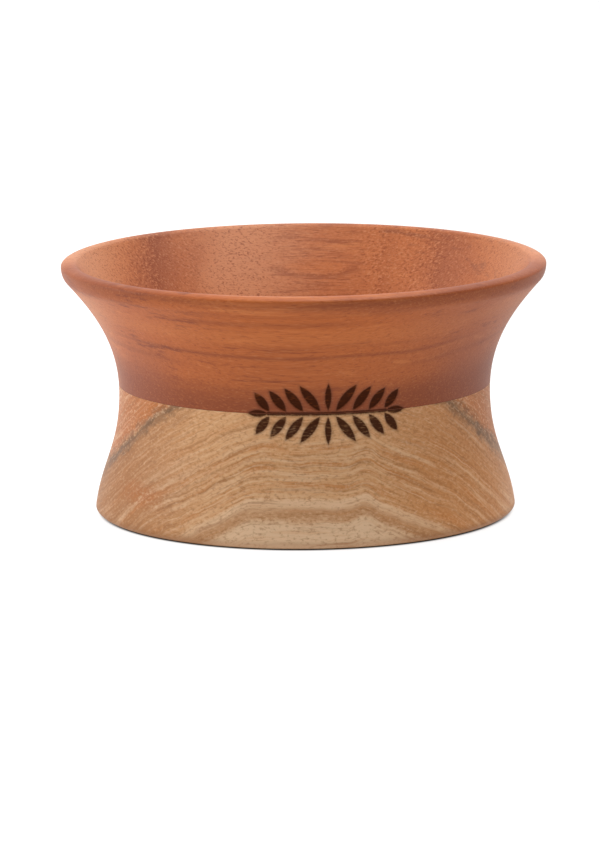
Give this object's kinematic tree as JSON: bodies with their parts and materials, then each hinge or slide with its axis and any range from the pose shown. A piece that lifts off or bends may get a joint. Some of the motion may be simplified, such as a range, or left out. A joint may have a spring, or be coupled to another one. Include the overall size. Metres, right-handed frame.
{
  "type": "shaving lather bowl",
  "caption": "Turned wooden lather bowl for shaving, handle-less and double-flared: a red timber bowl on a pale timber foot, with a rolled lip and a rounded basin.",
  "frame": {"origin": "centre of the foot, on the plane it stands on", "axes": "+Z is the turning axis, up from the foot to the open mouth; the front with the burnt mark faces -Y"},
  "size_m": [0.12, 0.12, 0.063],
  "materials": {
    "red_timber": "satin oil",
    "pale_timber": "satin oil",
    "glue": "dry glue film"
  },
  "bodies": {
    "root": {"pale_base": "pale_timber", "glue_line": "glue", "red_bowl": "red_timber"}
  },
  "joints": []
}
